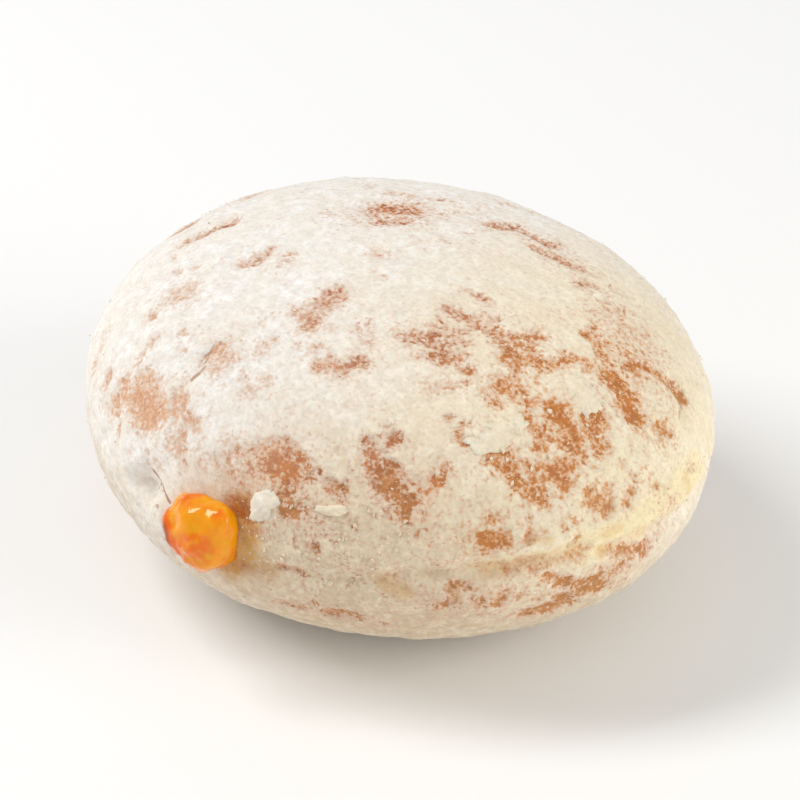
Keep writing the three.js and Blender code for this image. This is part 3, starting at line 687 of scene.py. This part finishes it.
# How rough dry sugar is, and how much smoother crust and wet places are.
sugar_roughness, crust_smoother, wet_smoother = 0.94, 0.36, 0.3
# The coat's grain as bump: how strong and how high it is, and how much lower the crust lies.
coat_bump, coat_bump_height, crust_lower = 0.34, 0.16, 0.6
dough_finish = {
    "Subsurface Weight": 0.10,
    "Subsurface Scale": 0.8 * mm,
    "Subsurface Radius": (1.0, 0.6, 0.35),
}


def dough_material():
    """Browned crust under a coat of powdered sugar that thins out grain by grain."""
    material, tree, shader = new_material("sugared_dough", dough_finish)
    place = object_place(tree)
    bare, thin, cream = field(tree, "bareness"), field(tree, "thinness"), field(tree, "creaminess")
    yellow, golden, wet_and_crease_shade = field(tree, "yellowness"), field(tree, "goldenness"), field(tree, "stain_and_crease_shade")
    below = maths(tree, "MULTIPLY", field(tree, "above_seam"), -1.0)
    cells = grain_cells(tree, place, grain_size)
    specks = maths(tree, "MULTIPLY_ADD", cloud(tree, place, speck_size, 2, 0.5), 3.2, -1.1)
    coarse = cloud(tree, place, shade_size, 3, 0.6)
    clots = maths(tree, "MULTIPLY_ADD", coarse, 2.4, -0.7)

    # Grains lie at random: each place has its own luck, and the crust shows where that
    # is worse than the share of sugar that is left there.
    luck = maths(tree, "MULTIPLY", cells, grain_luck)
    luck = maths(tree, "MULTIPLY_ADD", specks, speck_luck, luck)
    luck = maths(tree, "MULTIPLY_ADD", clots, clot_luck, luck)
    worn = cloud(tree, place, worn_size, 3, 0.6)
    little = maths(tree, "MULTIPLY_ADD", worn, wear_swing, wear_least)
    little = maths(tree, "MULTIPLY_ADD", bare, bare_share, little)
    little = maths(tree, "MULTIPLY_ADD", thin, thin_share, little)
    little = maths(tree, "MULTIPLY_ADD", rise(tree, below, 1.0, 9.0), underside_share, little)
    margin = maths(tree, "SUBTRACT", little, luck)
    crust_shows = rise(tree, margin, crust_from, crust_full)

    # The sugar is hazy beside bare crust, and goes tan towards the underside; this tan is partly painted
    # shade.
    haze = maths(tree, "MULTIPLY", bare, 0.30)
    haze = maths(tree, "MULTIPLY_ADD", rise(tree, margin, -0.60, -0.05), 0.48, haze)
    yellow = maths(tree, "MULTIPLY", yellow, 0.8)
    tan = maths(tree, "MULTIPLY_ADD", rise(tree, below, -4.0, 11.0), 0.50, field(tree, "tan_and_shade"))
    tan = maths(tree, "MINIMUM", tan, 0.75)
    looks = {"Thinness": haze, "Creaminess": cream, "Yellowness": yellow, "TanAndShade": tan}
    sugar = add(tree, "Group", looks, node_tree=powder)

    # The crust is mottled, dusty towards the edge of a patch, and holds a few caught grains.
    rosy = blend(tree, rise(tree, coarse, 0.35, 0.65), *rosy_crust)
    orange = blend(tree, rise(tree, coarse, 0.35, 0.65), *golden_crust)
    brown = blend(tree, golden, rosy, orange)
    brown = blend(tree, yellow, brown, waist_crust)
    dust = blend(tree, golden, rosy_dust, golden_dust)
    brown = blend(tree, rise(tree, margin, -0.10, 0.36), dust, brown)
    caught = rise(tree, maths(tree, "MULTIPLY_ADD", coarse, 0.8, cells), 1.04, 1.34)
    caught = maths(tree, "MULTIPLY", caught, maths(tree, "MULTIPLY_ADD", bare, -0.5, 0.8))
    brown = blend(tree, caught, brown, caught_grains)
    brown = blend(tree, maths(tree, "MULTIPLY", field(tree, "filmed"), 0.55), brown, filmed_crust)
    mottle = maths(tree, "MULTIPLY_ADD", cloud(tree, place, mottle_size, 2, 0.6), 0.55, 0.72)
    color = blend(tree, crust_shows, sugar.outputs["Color"], scaled(tree, brown, mottle))
    # Stains, and the painted shade in the seam's creases, darken the colour here.
    stain_and_shade = maths(tree, "MULTIPLY", wet_and_crease_shade, maths(tree, "MULTIPLY_ADD", specks, 0.5, 0.75), clamp=True)
    color = blend(tree, stain_and_shade, color, stain_and_shade_color, "MULTIPLY")
    crack = rise(tree, field(tree, "cracks"), 0.40, 0.85)
    color = blend(tree, maths(tree, "MULTIPLY", crack, 0.85), color, crack_color)

    # Crust is smoother than sugar, and wet crust smoothest.
    roughness = maths(tree, "MULTIPLY_ADD", crust_shows, -crust_smoother, sugar_roughness)
    roughness = maths(tree, "MULTIPLY_ADD", wet_and_crease_shade, -wet_smoother, roughness)
    stepped = maths(tree, "MULTIPLY_ADD", crust_shows, -crust_lower, sugar.outputs["Height"])
    normal = bumped(tree, stepped, coat_bump, coat_bump_height)
    feed(shader, {"Base Color": color, "Roughness": roughness, "Normal": normal})
    return material


dough_mesh.materials.append(dough_material())
dough = new_object("dough_sugared", dough_mesh)
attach(dough, "root")
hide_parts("dough")


# ---------------------------------------------------------------------------------------
# The flakes: scabs of sugar that caked while the coat was damp, and then cracked and
# lifted at their edges. They are the same powder, and they stand on the coat.

# Place, length, width, thickness, turn in degrees, and how much the upper edge curls up.
caked_flakes = [
    (-69.4, 11.0, 5.4, 3.2, 1.15, 62, 0.3),
    (-55.7, 12.8, 4.6, 1.6, 1.5, 5, 0.4),
    (-22.5, 25.2, 8.6, 4.6, 0.7, 8, 0.1),
    (-17, 26.1, 4.2, 2.0, 0.9, 68, 0.2),
    (0.6, 27.0, 6.4, 4.4, 0.9, 84, 0.1),
    (-1.4, 24.2, 2.2, 0.9, 0.6, 78, 0.2),
    (36.3, 36.5, 2.6, 1.7, 0.8, 30, 0.3),
    (26.3, 13.2, 4.0, 1.8, 0.9, 84, 0.4),
    (-104.6, 30.6, 5.2, 2.0, 0.5, 66, 0.6),
    (84, 6, 3.6, 2.5, 0.8, 15, 0.5),
    (112, 11, 4.3, 2.2, 0.8, -30, 0.4),
    (140, 22, 4.1, 2.7, 0.8, 70, 0.5),
    (166, -7, 3.5, 2.8, 0.8, 0, 0.4),
    (198, 9, 3.1, 2.1, 0.8, 40, 0.3),
]
flake_sunk, skirt_depth, skirt_share = 0.45, 0.35, 0.93
flake_points, flake_rings = 40, 9
# How ragged the outline is, in bays and in teeth, and how crumpled the top is.
bay_size, tooth_size, crumple_size, crumple_height = 0.30, 0.16, 1.3, 0.24
# How much thinner a flake is at its rim, and how much less crumpled.
rim_thinner, rim_calmer = 0.85, 0.6


def skin_frame(azimuth, elevation):
    """A frame on the skin: +X level, +Y up the skin and +Z outward, in the row frame."""
    reach = 3
    across = skin_place(azimuth + reach, elevation) - skin_place(azimuth - reach, elevation)
    up_skin = skin_place(azimuth, elevation + reach) - skin_place(azimuth, elevation - reach)
    outward = Vector(np.cross(across, up_skin)).normalized()
    level = Vector((0, 0, 1)).cross(outward).normalized()
    turn = Matrix((level, outward.cross(level), outward)).transposed()
    place = Vector(skin_place(azimuth, elevation)) * mm + dough_middle
    return Matrix.LocRotScale(place, turn, None)


def add_flake(mesh, number, azimuth, elevation, length, width, thickness, turn, curl):
    """One scab: a ragged plate, thin at its edge, set on the skin at its place and turned to face out
    from it.
    """
    frame_there = skin_frame(azimuth, elevation)
    turned = Matrix.Rotation(math.radians(turn), 4, "Z")
    shift = Vector((number * 7.3, number * -3.1, 0))
    rows = []
    for ring in range(flake_rings + 1):
        share = ring / flake_rings
        row = []
        for point in range(flake_points if ring else 1):
            angle = 2 * math.pi * point / flake_points
            rim = Vector((math.cos(angle), math.sin(angle), 0))
            ragged = 1 + bay_size * noise.noise(rim * 1.6 + shift)
            ragged += tooth_size * noise.noise(rim * 5 + shift)
            x = length / 2 * share * ragged * math.cos(angle)
            y = width / 2 * share * ragged * math.sin(angle)
            dome = thickness * (1 - share**2 * rim_thinner)
            lift = curl * thickness * ramp(2 * y / width, 0.1, 1.0)
            crumple = noise.fractal(Vector((x, y, 0)) / crumple_size + shift, 1.0, 2.0, 3)
            crumple = crumple_height * crumple * (1 - rim_calmer * share)
            row.append(Vector((x, y, dome + lift + crumple - flake_sunk)))
        rows.append(row)
    top = [[mesh.verts.new((frame_there @ turned @ (corner * mm))) for corner in row] for row in rows]
    skirt_low = -flake_sunk - skirt_depth
    skirt = [Vector((p.x * skirt_share, p.y * skirt_share, skirt_low)) for p in rows[-1]]
    skirt = [mesh.verts.new(frame_there @ turned @ (corner * mm)) for corner in skirt]
    for point in range(flake_points):
        after = (point + 1) % flake_points
        mesh.faces.new((top[0][0], top[1][point], top[1][after]))
        for inner, outer in zip(top[1:], top[2:] + [skirt]):
            mesh.faces.new((inner[point], outer[point], outer[after], inner[after]))
    mesh.faces.new(reversed(skirt))


flakes_made = bmesh.new()
for number, flake in enumerate(caked_flakes):
    add_flake(flakes_made, number, *flake)
flakes_mesh = smooth_mesh("sugar_flakes", flakes_made)
flake_corners = np.array([(corner.co - dough_middle) / mm for corner in flakes_mesh.vertices])
give_field(flakes_mesh, "creaminess", painted(flake_corners, cream_strokes))
give_field(flakes_mesh, "yellowness", painted(flake_corners, yellow_strokes))

caked_finish = {
    "Roughness": 0.92,
    "Subsurface Weight": 0.15,
    "Subsurface Scale": 0.8 * mm,
    "Subsurface Radius": (1.0, 0.75, 0.5),
}
caked_bump, caked_bump_height = 0.6, 0.2


def caked_material():
    """Caked sugar: whiter than the coat, and chalky. The flakes have no tan or painted shade of their
    own.
    """
    material, tree, shader = new_material("caked_sugar", caked_finish)
    looks = {
        "Thinness": 0.06,
        "Creaminess": maths(tree, "MULTIPLY", field(tree, "creaminess"), 0.9),
        "Yellowness": maths(tree, "MULTIPLY", field(tree, "yellowness"), 0.7),
        "TanAndShade": field(tree, "tan_and_shade"),
    }
    sugar = add(tree, "Group", looks, node_tree=powder)
    normal = bumped(tree, sugar.outputs["Height"], caked_bump, caked_bump_height)
    feed(shader, {"Base Color": sugar.outputs["Color"], "Normal": normal})
    return material


caked_sugar = caked_material()
flakes_mesh.materials.append(caked_sugar)
flakes = new_object("sugar_flakes", flakes_mesh)
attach(flakes, "root")


# ---------------------------------------------------------------------------------------
# The grains and crumbs: single grains of sugar that cling to the crust where the coat is
# rubbed off, and crumbs of coat that gathered under the flakes and beside the jelly.

grain_count, crumb_count = 5000, 340
grain_sizes, crumb_sizes = (0.06, 0.16), (0.13, 0.34)
# How uneven a lump is, how flat or long, how far it stands out and how far it strays.
lump_roughness, lump_stretch, lump_stand, lump_stray = 0.4, (0.4, 1.3), 0.05, 0.25
# None lie in the jelly, whose surroundings fill up over this distance, or on the foot.
jelly_clear, foot_clear = (5.5, 7.0), 1.5
# Where crumbs lie thickly, as strokes.
crumb_strokes = [
    (1.0, 7, (-62, 9), (-54, 7), (-46, 10)), (0.9, 6, (-70, 3), (-62, 3), (-54, 2)),
    (0.5, 6, (-98, 0), (-93, 1)), (0.5, 6, (-2, 24), (2, 26)), (0.4, 9, (-24, 24), (-14, 26)),
    (0.3, 8, (-104, 30)),
]


def scatter(count, sizes, weights, detail, seed):
    """Rough little lumps of sugar, strewn over the skin where the weights are high."""
    draw = np.random.RandomState(seed)
    chosen = draw.choice(len(weights), size=count, replace=False, p=weights / weights.sum())
    lump = bmesh.new()
    bmesh.ops.create_icosphere(lump, subdivisions=detail, radius=1)
    lump_corners = np.array([corner.co[:] for corner in lump.verts])
    lump_faces = np.array([[corner.index for corner in face.verts] for face in lump.faces])
    lump.free()
    corners, faces = [], []
    for vertex in chosen:
        size = sizes[0] + (sizes[1] - sizes[0]) * draw.rand() ** 2
        rough = 1 + draw.uniform(-lump_roughness, lump_roughness, (len(lump_corners), 1))
        spin = np.linalg.qr(draw.normal(size=(3, 3)))[0]
        shape = (lump_corners * rough * draw.uniform(*lump_stretch, 3)) @ spin * size
        middle = placed[vertex] + ways[vertex] * size * lump_stand
        middle = middle + draw.uniform(-lump_stray, lump_stray, 3)
        faces.append(lump_faces + len(lump_corners) * len(corners))
        corners.append(shape + middle)
    mesh = bpy.data.meshes.new("lumps")
    all_corners = np.concatenate(corners) * mm + np.array(dough_middle)
    mesh.from_pydata(all_corners.tolist(), [], np.concatenate(faces).tolist())
    # The lumps take the coat's cream, yellow, and its tan with painted shade.
    for name in ("creaminess", "yellowness", "tan_and_shade"):
        give_field(mesh, name, np.repeat(fields[name][chosen], len(lump_corners)))
    return mesh


clear = ramp(from_hole, *jelly_clear) + (bare_skin @ hole_way < 0)
clear = clear * (placed[:, 2] > -foot_depth + foot_clear)
# Grains lie thickest at the edges of the bare patches, and crumbs in their own places.
patch_edges = np.clip(4 * bareness * (1 - bareness), 0, 1)
crumbliness = painted(wandered, crumb_strokes)
grain_weights = (0.08 + patch_edges + 0.8 * bareness + 1.2 * crumbliness) * clear
crumb_weights = (0.02 + 3.0 * crumbliness) * clear
grains_mesh = scatter(grain_count, grain_sizes, grain_weights, detail=1, seed=11)
crumbs_mesh = scatter(crumb_count, crumb_sizes, crumb_weights, detail=2, seed=12)
for name, mesh in (("sugar_grains", grains_mesh), ("sugar_crumbs", crumbs_mesh)):
    mesh.name = name
    mesh.materials.append(caked_sugar)
    lumps_piece = new_object(name, mesh)
    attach(lumps_piece, "root")


# ---------------------------------------------------------------------------------------
# The jelly: apricot jelly squeezed in through the filling hole until a blob of it stood
# out. It is wet and clear, with chunks of fruit that make its skin lumpy.

jelly_width, jelly_height, jelly_proud, jelly_sunk = 10.8, 10.4, 4.8, 2.5
# Each chunk: how far round the blob, how far towards its tip, its spread and its rise.
jelly_chunks = [
    (44, 8, 24, 1.9), (100, 24, 24, 0.5), (172, 26, 30, 0.7), (-78, 22, 24, 0.5),
    (-15, 40, 26, 0.4), (130, 48, 16, -0.5), (-40, 62, 16, -0.4),
]
# Where the jelly is thick and painted deeper in colour as shade: how far round, how far out, how wide,
# how deep.
deep_shade_places = [
    (178, 44, 22, 1.5), (165, 20, 18, 0.8), (-135, 48, 30, 0.9), (-92, 40, 26, 0.8), (115, 12, 16, 0.7),
]
# How round the blob is cut, and how high its long waves and its short ones rise.
jelly_roundness, wobble_rise, ripple_rise = 6, 0.35, 0.16
# The colours: of the jelly and of its pulp, of the shreds of fruit, and of the painted shade where it is
# deep.
jelly_orange, pulp_orange = (0.98, 0.20, 0.001, 1), (1.0, 0.36, 0.002, 1)
shred_yellow, deep_shade_orange = (1.0, 0.50, 0.01, 1), (0.88, 0.155, 0.0005, 1)
deepest_shade_brown = (0.42, 0.07, 0.001, 1)
pulp_size, shred_size = 4.5, 1.6
jelly_bump, jelly_bump_height = 0.12, 0.4


def added_up(start, way, places):
    """The start and what each place adds to it, most in the place itself."""
    for side, out, spread, strength in places:
        away = math.degrees(way.angle(Vector(way_of(side, out))))
        start = start + strength * bell(away, spread)
    return start


def jelly_mesh():
    """The blob: a ball drawn out to its sizes, with chunks, and pulled in as a plug behind."""
    shade_depths = []
    blob = bmesh.new()
    bmesh.ops.create_icosphere(blob, subdivisions=jelly_roundness, radius=1)
    for corner in blob.verts:
        way = corner.co.normalized()
        outward = jelly_proud if way.z > 0 else jelly_sunk
        stretch = Vector((2 * way.x / jelly_width, 2 * way.y / jelly_height, way.z / outward))
        radius = added_up(1 / stretch.length, way, jelly_chunks)
        wobble = wobble_rise * noise.noise(way * 2.2 + Vector((3, 1, 7)))
        radius += wobble + ripple_rise * noise.noise(way * 5)
        # Each corner's painted shade, highest at the listed deep places.
        shade_depths.append(added_up(0, way, deep_shade_places))
        corner.co = way * radius * mm
        inward = max(0.0, -way.z)
        corner.co.z -= (hole_depth - jelly_sunk) * ramp(inward, 0.55, 0.95) * mm
    mesh = smooth_mesh("jelly_blob", blob)
    # The painted shade is stored as the jelly's depth.
    give_field(mesh, "depth", np.array(shade_depths))
    mesh.transform(skin_frame(hole_azimuth, hole_elevation))
    return mesh


jelly_finish = {
    "Roughness": 0.05,
    "IOR": 1.42,
    "Specular IOR Level": 0.5,
    "Transmission Weight": 0.06,
    "Subsurface Weight": 0.4,
    "Subsurface Scale": 1.0 * mm,
    "Subsurface Radius": (1.0, 0.6, 0.15),
}


def jelly_material():
    """Clear apricot jelly: bright where it is thin or holds fruit, and painted deep orange as shade where
    thick.
    """
    material, tree, shader = new_material("apricot_jelly", jelly_finish)
    place = object_place(tree)
    pulp = cloud(tree, place, pulp_size, 2, 0.5)
    shreds = cloud(tree, place, shred_size, 2, 0.5)
    body = blend(tree, rise(tree, pulp, 0.36, 0.60), jelly_orange, pulp_orange)
    color = blend(tree, maths(tree, "MULTIPLY", rise(tree, shreds, 0.5, 0.7), 0.5), body, shred_yellow)
    # Painted shade: deep orange, then brown, where the depth field is high and the pulp is thin.
    shade_depth = maths(tree, "MULTIPLY_ADD", pulp, -1.2, maths(tree, "ADD", field(tree, "depth"), 0.6))
    color = blend(tree, maths(tree, "MULTIPLY", rise(tree, shade_depth, 0.12, 0.85), 0.92), color, deep_shade_orange)
    color = blend(tree, rise(tree, shade_depth, 0.95, 1.6), color, deepest_shade_brown)
    feed(shader, {"Base Color": color, "Normal": bumped(tree, shreds, jelly_bump, jelly_bump_height)})
    return material


jelly = new_object("jelly_blob", jelly_mesh())
jelly.data.materials.append(jelly_material())
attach(jelly, "root")
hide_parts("jelly")


# ---------------------------------------------------------------------------------------
# The table, the light and the camera: a plain pale table under soft, even studio light
# from high on the left, and a long lens that looks down on the filling hole's side.

table_half, room_light = 1.2, 0.50
lens_mm, camera_distance = 195.9, 0.6
camera_azimuth, camera_elevation = 46, 32
aim_right, aim_up = 0.5, 1.1

table_mesh = bpy.data.meshes.new("table")
table_corners = [(x * table_half, y * table_half, 0) for x, y in [(-1, -1), (1, -1), (1, 1), (-1, 1)]]
table_mesh.from_pydata(table_corners, [], [(0, 1, 2, 3)])
table_finish = {"Base Color": (0.95, 0.95, 0.945, 1), "Roughness": 0.7}
table_mesh.materials.append(new_material("pale_table", table_finish)[0])
table = new_object("table", table_mesh)

turn, tilt = math.radians(camera_azimuth), math.radians(camera_elevation)
back = Vector((math.sin(turn) * math.cos(tilt), -math.cos(turn) * math.cos(tilt), math.sin(tilt)))
right = Vector((math.cos(turn), math.sin(turn), 0))
up = back.cross(right)


def softbox(name, toward, along, distance, sides, power, color):
    """A lamp that faces the doughnut, with its long side along the given way. The distance
    and the sides are in metres, and the power is in watts."""
    facing = toward.normalized()
    side = facing.cross(along).normalized()
    lamp = bpy.data.lights.new(name, "AREA")
    lamp.energy, lamp.color = power, color
    lamp.shape, lamp.size, lamp.size_y = "RECTANGLE", *sides
    turned = Matrix((side.cross(facing), side, facing)).transposed()
    light = new_object(name, lamp)
    light.matrix_world = Matrix.LocRotScale(dough_middle + facing * distance, turned, None)


# The key is long and narrow, and leans, so that it shines in short bars on the jelly.
key_toward, key_along = up * 0.9 - right * 0.85 + back * 0.4, up * 0.78 + right * 0.49
fill_toward = right * 1.0 + back * 0.6 + up * 0.1
key_color, fill_color = (1.0, 0.995, 0.985), (1.0, 0.98, 0.93)
softbox("key_light", key_toward, key_along, 0.9, (0.6, 0.26), power=4.7, color=key_color)
softbox("fill_light", fill_toward, up, 1.0, (0.7, 0.7), power=5.0, color=fill_color)

world = bpy.data.worlds.new("studio")
world.use_nodes = True
feed(world.node_tree.nodes["Background"], {"Color": (1.0, 1.0, 1.0, 1), "Strength": room_light})
bpy.context.scene.world = world
bpy.context.scene.view_settings.view_transform = "Standard"

camera_data = bpy.data.cameras.new("camera")
camera_data.lens = lens_mm
camera_data.sensor_width = 36
camera_data.clip_start, camera_data.clip_end = 0.01, 20
camera = new_object("camera", camera_data)
camera.location = dough_middle + right * aim_right * mm + up * aim_up * mm + back * camera_distance
camera.rotation_euler = back.to_track_quat("Z", "Y").to_euler()
bpy.context.scene.camera = camera
